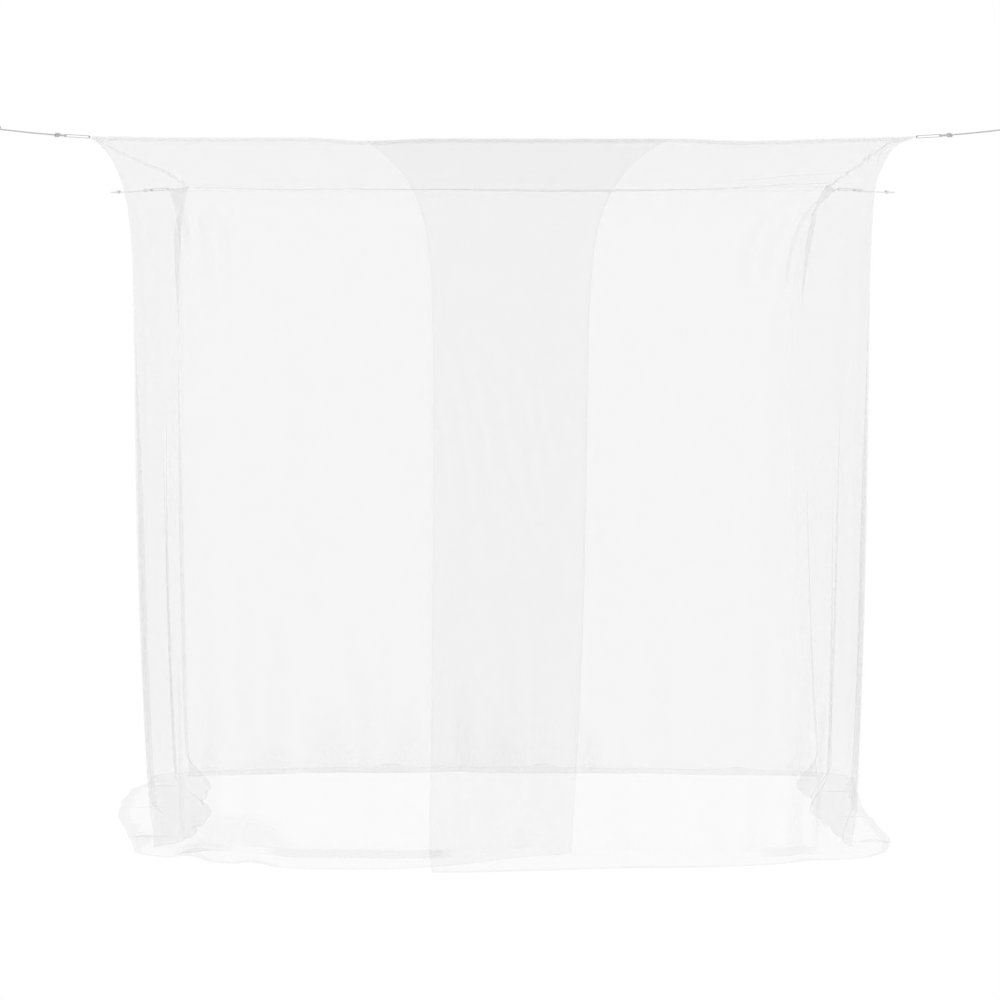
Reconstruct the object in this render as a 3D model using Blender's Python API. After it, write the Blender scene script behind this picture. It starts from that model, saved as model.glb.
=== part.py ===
"""Rectangular bed net, hung by cords from the four corners of its roof.

Metres, +Z up. The entry side, with its two overlapping curtains, faces -Y, and +X is to the right of
somebody who looks at it. The hems lie on the floor, z = 0, and the origin is on the floor at the middle
of the space that the net takes up.
"""

import math
from collections import namedtuple

import bmesh
import bpy
from mathutils import Vector

# Driving sizes
ROOF_WIDTH = 2.20
ROOF_DEPTH = 2.00
ROOF_HEIGHT = 1.92
FRONT_Y = -0.95  # the roof's front edge
REACH_X = 1.165  # how far the corner loops and the side hems reach from the middle
REACH_Y = 1.245  # how far the front and back hems reach
ROOF_SAG = 0.03  # at the middle of the roof

# Cloth, tape and cord
CLOTH = 0.0015
TAPE = 0.0012
GAP = 0.0003
BINDING_HEIGHT = 0.008
BINDING_TOP = 0.0025  # how far the binding stands over the top of the walls
ROOF_LIFT = 0.0016  # the middle of the roof cloth over the top of the walls
LOOP_WIDTH = 0.006
LOOP_HEIGHT = 0.0076
LOOP_START = 0.0025  # from the roof's corner, past the ends of the bindings
CORD = 0.004

# How the walls hang
TURN_RADIUS = 0.015  # where a wall turns outward onto the floor
HANG = ROOF_HEIGHT - TURN_RADIUS - CLOTH / 2
FLARE = 0.115  # drop in which a pulled corner or free edge falls back by two thirds
TUCK_DROP = 0.03  # drop at which a corner's tuck is deepest
TUCK_REACH = 0.12  # share of the side wall over which it dies out
WAY_STEP = 0.03  # share over which the way outward from the foot is read
LAYER_STEP = 0.006  # between the middles of the two curtains, below the top
LAYER_TOP = CLOTH + 3 * GAP  # the same at the roof's edge
LAYER_OPENS = 0.15  # drop over which they part
SEAM = 0.0003  # how far each wall stops short of a corner seam

# Each corner: its place on the roof (left or right, front or back), how far its seam stands in from the
# roof's corner at the waist and at the foot, as (x, y), how much cloth lies on the floor there, and how
# far the seam is tucked in further just under the roof.
Corner = namedtuple("Corner", "side_x side_y waist_in foot_in skirt tuck")
CORNERS = {
    "front_left": Corner(-1, -1, (0.145, 0.045), (0.160, 0.100), 0.056, 0.0),
    "front_right": Corner(1, -1, (0.150, 0.045), (0.190, 0.070), 0.102, 0.023),
    "back_right": Corner(1, 1, (0.165, 0.075), (0.090, 0.115), 0.130, 0.0),
    "back_left": Corner(-1, 1, (0.052, 0.060), (0.080, 0.120), 0.130, 0.0),
}

# Each wall runs from one corner to the next, against the clock as seen from above.
Wall = namedtuple("Wall", "start end along out length centre")
BACK_Y = FRONT_Y + ROOF_DEPTH
MIDDLE_Y = FRONT_Y + ROOF_DEPTH / 2
WALLS = {
    "front": Wall("front_left", "front_right", (1, 0), (0, -1), ROOF_WIDTH, (0, FRONT_Y)),
    "right": Wall("front_right", "back_right", (0, 1), (1, 0), ROOF_DEPTH, (ROOF_WIDTH / 2, MIDDLE_Y)),
    "back": Wall("back_right", "back_left", (-1, 0), (0, 1), ROOF_WIDTH, (0, BACK_Y)),
    "left": Wall("back_left", "front_left", (0, -1), (-1, 0), ROOF_DEPTH, (-ROOF_WIDTH / 2, MIDDLE_Y)),
}
ORDER = list(WALLS)

# Sections of each wall between its corners: how far the roof's edge, the waist and the foot stand in
# from the straight side of the roof, how far the edge sags, and how much cloth lies on the floor.
Section = namedtuple("Section", "share edge_in sag waist_in foot_in skirt")
SECTIONS = {
    "front": [
        Section(0.05, 0.010, 0.001, 0.012, 0.055, 0.086),
        Section(0.13, 0.020, 0.002, 0.000, 0.030, 0.158),
        Section(0.26, 0.030, 0.001, -0.004, 0.010, 0.243),
        Section(0.33, 0.036, 0.009, 0.000, 0.006, 0.242),
        Section(0.42, 0.040, 0.002, 0.004, 0.005, 0.240),
        Section(0.55, 0.040, 0.003, 0.004, 0.004, 0.238),
        Section(0.70, 0.036, 0.003, 0.000, 0.004, 0.215),
        Section(0.80, 0.030, 0.010, -0.004, 0.008, 0.202),
        Section(0.90, 0.016, 0.005, 0.002, 0.024, 0.150),
        Section(0.96, 0.008, 0.002, 0.014, 0.045, 0.114),
    ],
    "right": [
        Section(0.05, 0.054, 0.003, 0.108, 0.146, 0.092),
        Section(0.14, 0.066, 0.008, 0.092, 0.126, 0.100),
        Section(0.30, 0.072, 0.013, 0.088, 0.142, 0.116),
        Section(0.50, 0.072, 0.016, 0.096, 0.132, 0.108),
        Section(0.70, 0.068, 0.014, 0.116, 0.108, 0.104),
        Section(0.86, 0.064, 0.009, 0.140, 0.092, 0.106),
        Section(0.95, 0.034, 0.003, 0.154, 0.086, 0.118),
    ],
    "back": [
        Section(0.05, 0.040, 0.003, 0.050, 0.090, 0.150),
        Section(0.15, 0.080, 0.007, 0.055, 0.075, 0.178),
        Section(0.33, 0.104, 0.010, 0.070, 0.035, 0.180),
        Section(0.55, 0.110, 0.009, 0.076, 0.002, 0.197),
        Section(0.75, 0.100, 0.010, 0.070, 0.010, 0.170),
        Section(0.88, 0.070, 0.006, 0.052, 0.060, 0.172),
        Section(0.95, 0.036, 0.003, 0.045, 0.086, 0.148),
    ],
    "left": [
        Section(0.05, 0.060, 0.004, 0.054, 0.086, 0.120),
        Section(0.14, 0.090, 0.009, 0.066, 0.094, 0.146),
        Section(0.32, 0.104, 0.015, 0.080, 0.112, 0.178),
        Section(0.52, 0.098, 0.016, 0.090, 0.134, 0.172),
        Section(0.68, 0.062, 0.012, 0.090, 0.138, 0.132),
        Section(0.84, 0.036, 0.007, 0.084, 0.122, 0.066),
        Section(0.95, 0.016, 0.002, 0.101, 0.140, 0.046),
    ],
}

# Main folds of each wall: where, how wide and deep (inward is positive), and the shares of the drop at
# which a fold begins, is full, and is gone again (over 1: it runs down to the floor). Those that begin
# at 0.95 are where the foot has slipped in along the floor.
Fold = namedtuple("Fold", "share half_width depth begins full gone")
FOLDS = {
    "front": [
        Fold(0.120, 0.225, 0.105, 0.95, 1.00, 1.5),
        Fold(0.075, 0.060, 0.022, 0.70, 0.88, 1.5),
        Fold(0.170, 0.110, -0.014, 0.20, 0.80, 1.5),
        Fold(0.300, 0.120, 0.012, 0.30, 0.85, 1.5),
        Fold(0.500, 0.160, -0.010, 0.20, 0.80, 1.5),
        Fold(0.700, 0.130, 0.012, 0.25, 0.80, 1.5),
        Fold(0.840, 0.110, -0.014, 0.20, 0.75, 1.5),
        Fold(0.945, 0.060, 0.026, 0.68, 0.88, 1.5),
    ],
    "right": [
        Fold(0.235, 0.450, 0.045, 0.95, 1.00, 1.5),
        Fold(0.480, 0.450, 0.045, 0.95, 1.00, 1.5),
        Fold(0.740, 0.450, 0.075, 0.95, 1.00, 1.5),
        Fold(0.100, 0.090, 0.020, 0.10, 0.60, 1.5),
        Fold(0.260, 0.120, -0.016, 0.15, 0.70, 1.5),
        Fold(0.450, 0.130, 0.018, 0.10, 0.60, 1.5),
        Fold(0.640, 0.130, -0.016, 0.10, 0.70, 1.5),
        Fold(0.800, 0.110, 0.016, 0.10, 0.60, 1.5),
        Fold(0.930, 0.070, -0.024, 0.02, 0.07, 0.30),
    ],
    "back": [
        Fold(0.060, 0.080, 0.026, 0.02, 0.07, 0.28),
        Fold(0.270, 0.140, -0.016, 0.15, 0.80, 1.5),
        Fold(0.450, 0.120, 0.024, 0.55, 0.94, 1.5),
        Fold(0.580, 0.090, -0.022, 0.60, 0.94, 1.5),
        Fold(0.700, 0.100, 0.020, 0.50, 0.92, 1.5),
        Fold(0.830, 0.110, -0.014, 0.20, 0.80, 1.5),
        Fold(0.940, 0.070, 0.024, 0.02, 0.07, 0.28),
    ],
    "left": [
        Fold(0.235, 0.450, 0.070, 0.95, 1.00, 1.5),
        Fold(0.460, 0.450, 0.075, 0.95, 1.00, 1.5),
        Fold(0.700, 0.450, 0.110, 0.95, 1.00, 1.5),
        Fold(0.860, 0.260, 0.080, 0.95, 1.00, 1.5),
        Fold(0.070, 0.070, -0.022, 0.02, 0.07, 0.30),
        Fold(0.220, 0.120, 0.018, 0.10, 0.60, 1.5),
        Fold(0.400, 0.130, -0.016, 0.15, 0.70, 1.5),
        Fold(0.580, 0.130, 0.016, 0.10, 0.70, 1.5),
        Fold(0.760, 0.120, -0.014, 0.15, 0.70, 1.5),
        Fold(0.900, 0.080, 0.020, 0.15, 0.60, 1.5),
    ],
}

# Ripples of the cloth on the floor: where, how wide, and how high.
Ripple = namedtuple("Ripple", "share half_width height")
RIPPLES = {
    "front": [Ripple(0.07, 0.07, 0.022), Ripple(0.165, 0.08, 0.016), Ripple(0.93, 0.07, 0.008)],
    "right": [Ripple(0.08, 0.09, 0.020), Ripple(0.38, 0.10, 0.012), Ripple(0.72, 0.12, 0.014)],
    "back": [Ripple(0.12, 0.10, 0.014), Ripple(0.44, 0.09, 0.018), Ripple(0.68, 0.10, 0.018)],
    "left": [Ripple(0.20, 0.12, 0.014), Ripple(0.50, 0.12, 0.012), Ripple(0.88, 0.10, 0.018)],
}

# The curtains' free edges, as x at the roof, the waist, the foot and the hem, with how far the foot of
# the edge is drawn back into the net and the cloth that lies on the floor there.
Curtain = namedtuple("Curtain", "roof_x waist_x foot_x hem_x drawn_back skirt")
LEFT_CURTAIN = Curtain(0.445, 0.228, 0.185, 0.150, 0.090, 0.060)
RIGHT_CURTAIN = Curtain(-0.368, -0.186, -0.197, -0.182, 0.000, 0.300)
DRAW_BACK_FROM = 0.42  # share of the front at which the left curtain starts to be drawn back
DRAW_BACK_POWER = 4
EDGE_REACH = 0.45  # share of a curtain's width over which the skirt changes towards its free edge
EDGE_CLEAR = 0.02  # the least share between a curtain's free edge and its next column
OVERLAP_FULL = 0.66  # share of the front up to which the right curtain stands proud of the left one
OVERLAP_GONE = 0.84
BINDING_STEPS_OUT = 0.25  # share by which the front binding has stepped out over the outer curtain
OUTER_HEM_DROP = (0.70, 1.0)  # shares of the outer skirt in which it comes down to the floor

# Rows of a wall's grid: metres of drop, then the turn onto the floor, then shares of the skirt.
Row = namedtuple("Row", "drop turn out")
DROPS = [0, BINDING_HEIGHT, 0.035, 0.075, 0.13, 0.21, 0.34, 0.60, 0.95, 1.30, 1.58, 1.80, 1.86]
TURNS = [0, 45, 90]
SKIRT_SHARES = [0.35, 0.70, 1.0]
ROWS = (
    [Row(drop, 0, 0) for drop in DROPS]
    + [Row(HANG, math.radians(turn), 0) for turn in TURNS]
    + [Row(HANG, math.pi / 2, share) for share in SKIRT_SHARES]
)
COLUMN_STEP = 0.1  # share between columns away from folds and corners
COLUMN_LEAST = 0.036  # the least share between them there
COLUMN_CLOSE = 0.009  # and at a corner
NEAR_CORNER = 0.06  # share within which a column counts as at a corner
FOLD_FLANK = 0.7  # a fold's outer columns, as a share of its half width
RIPPLE_END = 0.85 * math.pi  # a ripple has come down this far round its sine at the hem
HALF_ROOF = [0, 0.012, 0.03, 0.06, 0.11, 0.18, 0.27, 0.37, 0.5]
ROOF_COLUMNS = HALF_ROOF + [1 - share for share in reversed(HALF_ROOF[:-1])]
ROOF_INSET = 0.0012  # from the walls' line, so that the roof lies within its binding
CORNER_COLUMNS = [0.0, 0.012, 0.03, 0.055]

# The ties: the way they leave the corners, how far the front and the back ones reach, and a route from
# the knot beside the corner loop, through the loop and out to the far loop, as (out, sideways).
TIE_ANGLE = math.radians(38)
TIE_REACH = {-1: 0.315, 1: 0.262}
TIE_RISE = {-1: 0.009, 1: 0.0}  # how much higher the far loop is
TIE_SAG = 0.002
TIE_NEAR = [
    (0.0262, 0.0047), (0.0200, 0.0056), (0.0140, 0.0074), (0.0075, 0.0090), (0.0012, 0.0086),
    (-0.0026, 0.0060), (-0.0036, 0.0022), (-0.0036, -0.0022), (-0.0026, -0.0060), (0.0012, -0.0086),
    (0.0075, -0.0090), (0.0140, -0.0064), (0.0200, -0.0026), (0.0262, -0.0002), (0.0340, 0.0),
]
TIE_FAR = [
    (-0.0480, 0.0), (-0.0380, -0.0006), (-0.0290, -0.0040), (-0.0215, -0.0080), (-0.0130, -0.0098),
    (-0.0050, -0.0072), (0.0, 0.0), (-0.0050, 0.0072), (-0.0130, 0.0098), (-0.0215, 0.0086),
    (-0.0290, 0.0064), (-0.0360, 0.0047),
]
SPLINE_STEPS = 24
TIE_STEP = 0.0085
TIE_LOOP_STEP = 0.0045
LOOP_ARC_STEPS = 6  # at each round end of a corner loop


def smooth(value):
    """0 to 1 with level ends."""
    value = min(max(value, 0.0), 1.0)
    return value * value * (3 - 2 * value)


def bell(value):
    return (1 - value * value) ** 2 if abs(value) < 1 else 0.0


def curve(xs, ys, x):
    """A smooth curve through the points, read at x, with no overshoot at a peak."""
    if x <= xs[0]:
        return ys[0]
    if x >= xs[-1]:
        return ys[-1]
    i = max(k for k in range(len(xs) - 1) if xs[k] <= x)
    slopes = [(ys[k + 1] - ys[k]) / (xs[k + 1] - xs[k]) for k in range(len(xs) - 1)]

    def tangent(k):
        if k in (0, len(xs) - 1):
            return slopes[0] if k == 0 else slopes[-1]
        before, after = slopes[k - 1], slopes[k]
        return 0.0 if before * after <= 0 else 2 * before * after / (before + after)

    step = xs[i + 1] - xs[i]
    t = (x - xs[i]) / step
    return (
        (2 * t**3 - 3 * t**2 + 1) * ys[i]
        + (t**3 - 2 * t**2 + t) * step * tangent(i)
        + (3 * t**2 - 2 * t**3) * ys[i + 1]
        + (t**3 - t**2) * step * tangent(i + 1)
    )


def hung(roof, waist, foot, drop):
    """A measure at a drop: from its value at the roof to the waist's, and slowly on to the foot's."""
    fallen = max(drop, 0.0)
    return waist + (roof - waist) * math.exp(-fallen / FLARE) + (foot - waist) * (fallen / HANG) ** 3


def section(wall_name, share):
    """The wall's section at a share of its width, with the corners as the first and last rows."""
    wall = WALLS[wall_name]
    across = 1 if wall.along[0] else 0
    rows = []
    for corner, place in ((CORNERS[wall.start], 0.0), (CORNERS[wall.end], 1.0)):
        rows.append(Section(place, 0, 0, corner.waist_in[across], corner.foot_in[across], corner.skirt))
    table = [rows[0], *SECTIONS[wall_name], rows[1]]
    shares, edge_in, sag, waist_in, foot_in, skirt = zip(*table)
    below = max(k for k in range(len(ROOF_COLUMNS) - 1) if ROOF_COLUMNS[k] <= share)
    first, last = ROOF_COLUMNS[below], ROOF_COLUMNS[below + 1]
    part = (share - first) / (last - first)

    def along_roof(column):
        """The roof's edge is straight between the roof's own columns, so that all that meets it fits."""
        return curve(shares, column, first) * (1 - part) + curve(shares, column, last) * part

    lower = [curve(shares, column, share) for column in (waist_in, foot_in, skirt)]
    return Section(share, along_roof(edge_in), along_roof(sag), *lower)


def fold_depth(wall_name, share, drop):
    length = WALLS[wall_name].length
    total = 0.0
    for fold in FOLDS[wall_name]:
        across = bell((share - fold.share) * length / fold.half_width)
        fallen = drop / HANG
        rise = smooth((fallen - fold.begins) / (fold.full - fold.begins))
        fade = 1 - smooth((fallen - fold.full) / (fold.gone - fold.full)) if fold.gone < 1 else 1.0
        total += fold.depth * across * rise * fade
    return total


def tuck_depth(corner, drop):
    """How far a corner's seam is tucked in along x, at a drop."""
    fallen = max(drop, 0.0) / TUCK_DROP
    return corner.tuck * fallen * math.exp(1 - fallen)


def corner_along(corner, axis, drop):
    """How far a corner's seam stands in along one axis, at a drop."""
    tuck = tuck_depth(corner, drop) if axis == 0 else 0.0
    return hung(0, corner.waist_in[axis], corner.foot_in[axis], drop) + tuck


def neighbour(wall_name, share):
    """A share under 0 or over 1, as a share of the wall on that side."""
    at = ORDER.index(wall_name)
    if share < 0:
        return ORDER[at - 1], 1 + share
    if share > 1:
        return ORDER[(at + 1) % 4], share - 1
    return wall_name, share


def foot_plan(wall_name, share):
    """A point of the foot's line on the floor, without its folds."""
    wall_name, share = neighbour(wall_name, share)
    wall = WALLS[wall_name]
    axis = 0 if wall.along[0] else 1
    first = -wall.length / 2 + CORNERS[wall.start].foot_in[axis]
    last = wall.length / 2 - CORNERS[wall.end].foot_in[axis]
    inward = section(wall_name, share).foot_in
    along = first + (last - first) * share
    return Vector(wall.centre) + Vector(wall.along) * along - Vector(wall.out) * inward


def skirt_way(wall_name, share):
    """The way in which the hem lies from the foot: square to the foot's line, also round a corner."""
    here = foot_plan(wall_name, share)
    before = (here - foot_plan(wall_name, share - WAY_STEP)).normalized()
    after = (foot_plan(wall_name, share + WAY_STEP) - here).normalized()
    line = before + after
    return Vector((line.y, -line.x)).normalized()


def wall_point(wall_name, share, row, skirt=None, drawn_back=0.0):
    """A point on the middle of a wall's cloth."""
    wall = WALLS[wall_name]
    axis = 0 if wall.along[0] else 1
    cut = section(wall_name, share)
    first = -wall.length / 2 + corner_along(CORNERS[wall.start], axis, row.drop)
    last = wall.length / 2 - corner_along(CORNERS[wall.end], axis, row.drop)
    inward = hung(cut.edge_in, cut.waist_in, cut.foot_in, row.drop)
    inward += fold_depth(wall_name, share, row.drop) * (1 - row.out) + drawn_back
    if axis == 1:
        inward += tuck_depth(CORNERS[wall.start], row.drop) * bell(share / TUCK_REACH)
        inward += tuck_depth(CORNERS[wall.end], row.drop) * bell((1 - share) / TUCK_REACH)
    along = first + (last - first) * share
    plan = Vector(wall.centre) + Vector(wall.along) * along - Vector(wall.out) * inward
    way = skirt_way(wall_name, share)
    reach = (cut.skirt if skirt is None else skirt) - TURN_RADIUS
    plan += way * (TURN_RADIUS * (1 - math.cos(row.turn)) + reach * row.out)
    floor = CLOTH / 2
    if row.turn > 0:
        height = floor + TURN_RADIUS * (1 - math.sin(row.turn))
    else:
        top = ROOF_HEIGHT - cut.sag
        foot = floor + TURN_RADIUS
        height = foot + (top - foot) * (1 - row.drop / HANG)
    for ripple in RIPPLES[wall_name]:
        across = bell((share - ripple.share) * wall.length / ripple.half_width)
        height += ripple.height * across * math.sin(RIPPLE_END * row.out)
    x = min(max(plan.x, CLOTH - REACH_X), REACH_X - CLOTH)
    y = min(max(plan.y, -REACH_Y), REACH_Y)
    return Vector((x, y, height))


def beyond(wall_name, share, row):
    """The same, with shares under 0 or over 1 on the walls next to this one."""
    wall_name, share = neighbour(wall_name, share)
    return wall_point(wall_name, share, row)


def wall_columns(wall_name):
    """Shares at which a wall has columns: even ones, and closer ones at its folds and corners."""
    shares = list(CORNER_COLUMNS) + [1 - share for share in CORNER_COLUMNS]
    for fold in FOLDS[wall_name]:
        half = fold.half_width / WALLS[wall_name].length
        shares += [fold.share - half * FOLD_FLANK, fold.share, fold.share + half * FOLD_FLANK]
    count = round(1 / COLUMN_STEP)
    shares += [k / count for k in range(1, count)]
    kept = []
    for share in sorted(s for s in shares if 0 <= s <= 1):
        least = COLUMN_CLOSE if min(share, 1 - share) < NEAR_CORNER else COLUMN_LEAST
        if not kept or share - kept[-1] > least or share == 1.0:
            kept.append(share)
    seam = SEAM / WALLS[wall_name].length
    return [max(min(share, 1 - seam), seam) for share in kept]


def free_share(curtain, row):
    """The share of the front at which a curtain's free edge hangs."""
    left = -ROOF_WIDTH / 2 + corner_along(CORNERS["front_left"], 0, row.drop)
    right = ROOF_WIDTH / 2 - corner_along(CORNERS["front_right"], 0, row.drop)
    x = hung(curtain.roof_x, curtain.waist_x, curtain.foot_x, row.drop)
    x += (curtain.hem_x - curtain.foot_x) * row.out
    return (x - left) / (right - left)


def normals(points, before, after):
    """Outward normals of a grid of points, with the columns next to it on either side, if any."""
    result = []
    for j, row in enumerate(points):
        line = []
        for i, point in enumerate(row):
            previous = row[i - 1] if i else (before[j] if before else None)
            following = row[i + 1] if i < len(row) - 1 else (after[j] if after else None)
            sides = [(point - previous).normalized()] if previous else []
            sides += [(following - point).normalized()] if following else []
            across = sum(sides, Vector((0, 0, 0)))
            steps = [(point - points[j - 1][i]).normalized()] if j else []
            steps += [(points[j + 1][i] - point).normalized()] if j < len(points) - 1 else []
            down = sum(steps, Vector((0, 0, 0)))
            line.append(down.cross(across).normalized())
        result.append(line)
    return result


def shifted(points, ways, distance):
    return [
        [point + way * distance for point, way in zip(row, line)] for row, line in zip(points, ways)
    ]


def add_object(name, mesh_builder, material):
    mesh = bpy.data.meshes.new(name)
    bm = bmesh.new()
    mesh_builder(bm)
    bmesh.ops.recalc_face_normals(bm, faces=bm.faces)
    bm.to_mesh(mesh)
    bm.free()
    mesh.shade_smooth()
    mesh.materials.append(material)
    obj = bpy.data.objects.new(name, mesh)
    bpy.context.scene.collection.objects.link(obj)
    return obj


def add_sheet(name, outer, inner, material):
    """A closed sheet between two grids of points."""

    def build(bm):
        grids = [[[bm.verts.new(point) for point in row] for row in grid] for grid in (outer, inner)]
        rows, columns = len(outer), len(outer[0])
        for grid in grids:
            for j in range(rows - 1):
                for i in range(columns - 1):
                    bm.faces.new((grid[j][i], grid[j + 1][i], grid[j + 1][i + 1], grid[j][i + 1]))
        rim = [(0, i) for i in range(columns)] + [(j, columns - 1) for j in range(1, rows)]
        rim += [(rows - 1, i) for i in range(columns - 2, -1, -1)]
        rim += [(j, 0) for j in range(rows - 2, 0, -1)]
        for (j, i), (jj, ii) in zip(rim, rim[1:] + rim[:1]):
            bm.faces.new((grids[0][j][i], grids[0][jj][ii], grids[1][jj][ii], grids[1][j][i]))

    return add_object(name, build, material)


def add_wall(name, wall_name, material):
    shares = wall_columns(wall_name)
    points = [[wall_point(wall_name, share, row) for share in shares] for row in ROWS]
    step = CORNER_COLUMNS[1]
    before = [beyond(wall_name, -step, row) for row in ROWS]
    after = [beyond(wall_name, 1 + step, row) for row in ROWS]
    ways = normals(points, before, after)
    half = CLOTH / 2
    return add_sheet(name, shifted(points, ways, half), shifted(points, ways, -half), material)


def layer_offset(share, row):
    """How far the outer curtain stands proud of the inner one's surface."""
    overlap = 1 - smooth((share - OVERLAP_FULL) / (OVERLAP_GONE - OVERLAP_FULL))
    depth = LAYER_TOP + (LAYER_STEP - LAYER_TOP) * smooth(row.drop / LAYER_OPENS)
    first, last = OUTER_HEM_DROP
    return depth * overlap * (1 - smooth((row.out - first) / (last - first)))


def curtain_grid(curtain, from_left):
    """Shares and points of a curtain, from its corner seam to its free edge."""
    columns = wall_columns("front")
    limit = free_share(curtain, ROWS[-1])
    if from_left:
        parts = [share / limit for share in columns if share < limit - EDGE_CLEAR] + [1.0]
    else:
        parts = [(share - limit) / (1 - limit) for share in columns if share > limit + EDGE_CLEAR]
        parts = [0.0, *parts]
    shares, points = [], []
    for row in ROWS:
        edge = free_share(curtain, row)
        line = [part * edge if from_left else edge + part * (1 - edge) for part in parts]
        shares.append(line)
        points.append([curtain_point(curtain, share, row, from_left) for share in line])
    return shares, points


def curtain_point(curtain, share, row, from_left):
    """A point on a curtain, before the outer one is moved out."""
    edge = free_share(curtain, row)
    width = edge if from_left else 1 - edge
    to_edge = 1 - smooth(abs(edge - share) / (EDGE_REACH * width))
    normal = section("front", share).skirt
    skirt = normal + (curtain.skirt - normal) * to_edge
    pulled = smooth((share - DRAW_BACK_FROM) / (edge - DRAW_BACK_FROM)) if from_left else 0.0
    drawn = curtain.drawn_back * pulled * (row.drop / HANG) ** DRAW_BACK_POWER
    return wall_point("front", share, row, skirt=skirt, drawn_back=drawn)


def add_curtain(name, curtain, from_left, material):
    shares, points = curtain_grid(curtain, from_left)
    step = CORNER_COLUMNS[1]
    outside = [beyond("front", -step if from_left else 1 + step, row) for row in ROWS]
    ways = normals(points, outside if from_left else None, None if from_left else outside)
    if not from_left:
        points = [
            [point + way * layer_offset(share, row) for point, way, share in zip(line, turn, at)]
            for line, turn, at, row in zip(points, ways, shares, ROWS)
        ]
    half = CLOTH / 2
    return add_sheet(name, shifted(points, ways, half), shifted(points, ways, -half), material)


def add_binding(name, wall_name, material):
    """The tape over the seam of roof and wall, on the outside."""
    rows = [Row(drop, 0, 0) for drop in (-BINDING_TOP, 0.0, BINDING_HEIGHT)]
    shares = wall_columns(wall_name)
    proud = [0.0] * len(shares)
    if wall_name == "front":
        outer = curtain_grid(RIGHT_CURTAIN, False)[0][0]
        inner = curtain_grid(LEFT_CURTAIN, True)[0][0]
        shares = [share for share in inner if share < outer[0] - EDGE_CLEAR / 2] + outer
        proud = [layer_offset(share, ROWS[0]) * smooth(share / BINDING_STEPS_OUT) for share in shares]
    points = [[wall_point(wall_name, share, row) for share in shares] for row in rows]
    step = CORNER_COLUMNS[1]
    before = [beyond(wall_name, -step, row) for row in rows]
    after = [beyond(wall_name, 1 + step, row) for row in rows]
    ways = normals(points, before, after)
    clear = CLOTH / 2 + 2 * GAP
    grids = []
    for distance in (clear + TAPE, clear):
        grids.append(
            [
                [point + way * (distance + extra) for point, way, extra in zip(line, turn, proud)]
                for line, turn in zip(points, ways)
            ]
        )
    return add_sheet(name, grids[0], grids[1], material)


def roof_edge(wall_name, share):
    """The roof's edge at a share of a wall's width, level with the top of the wall."""
    return wall_point(wall_name, share, Row(0, 0, 0))


def add_roof(material):
    """The roof: a patch between its four edges that sags in the middle."""
    front_left, front_right = roof_edge("front", 0), roof_edge("front", 1)
    back_right, back_left = roof_edge("back", 0), roof_edge("back", 1)
    inset = Vector((1 - 2 * ROOF_INSET / ROOF_WIDTH, 1 - 2 * ROOF_INSET / ROOF_DEPTH, 1))
    middle = Vector((0, MIDDLE_Y, 0))
    points = []
    for v in ROOF_COLUMNS:
        line = []
        for u in ROOF_COLUMNS:
            front, back = roof_edge("front", u), roof_edge("back", 1 - u)
            left, right = roof_edge("left", 1 - v), roof_edge("right", v)
            point = front * (1 - v) + back * v + left * (1 - u) + right * u
            point -= front_left * (1 - u) * (1 - v) + front_right * u * (1 - v)
            point -= back_left * (1 - u) * v + back_right * u * v
            sag = ROOF_SAG * 4 * u * (1 - u) * 4 * v * (1 - v)
            line.append((point - middle) * inset + middle + Vector((0, 0, ROOF_LIFT - sag)))
        points.append(line)
    up = Vector((0, 0, CLOTH / 2))
    top = [[point + up for point in line] for line in points]
    bottom = [[point - up for point in line] for line in points]
    return add_sheet("roof", top, bottom, material)


def corner_frame(corner):
    """A corner's place, the way its tie leaves, and the way to the side of it."""
    place = Vector((corner.side_x * ROOF_WIDTH / 2, MIDDLE_Y + corner.side_y * ROOF_DEPTH / 2, ROOF_HEIGHT))
    way = Vector((corner.side_x * math.cos(TIE_ANGLE), corner.side_y * math.sin(TIE_ANGLE), 0))
    return place, way, Vector((-way.y, way.x, 0))


def loop_end():
    """How far a corner loop reaches along its tie's way."""
    return (REACH_X - ROOF_WIDTH / 2 - LOOP_WIDTH / 2 * math.sin(TIE_ANGLE)) / math.cos(TIE_ANGLE)


def add_corner_loop(name, corner, material):
    """A tape loop that stands on edge, with its eye to the side."""
    place, way, side = corner_frame(corner)
    radius = LOOP_HEIGHT / 2
    first, last = LOOP_START + radius, loop_end() - radius

    def outline(size):
        ring = []
        for centre, start in ((last, -math.pi / 2), (first, math.pi / 2)):
            for step in range(LOOP_ARC_STEPS + 1):
                angle = start + math.pi * step / LOOP_ARC_STEPS
                ring.append((centre + size * math.cos(angle), size * math.sin(angle)))
        return ring

    def build(bm):
        rings = []
        for size in (radius, radius - TAPE):
            for edge in (-0.5, 0.5):
                offset = place + side * LOOP_WIDTH * edge
                rings.append(
                    [bm.verts.new(offset + way * out + Vector((0, 0, up))) for out, up in outline(size)]
                )
        count = len(rings[0])
        for one, other in ((0, 1), (1, 3), (3, 2), (2, 0)):
            for k in range(count):
                n = (k + 1) % count
                bm.faces.new((rings[one][k], rings[one][n], rings[other][n], rings[other][k]))

    return add_object(name, build, material)


def tie_route(corner):
    """Points of a tie's route, from beside the corner loop to the far loop's end."""
    reach = TIE_REACH[corner.side_y]
    near = [(loop_end() + out, side) for out, side in TIE_NEAR]
    far = [(reach + out, side) for out, side in TIE_FAR]
    return near + far


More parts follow.
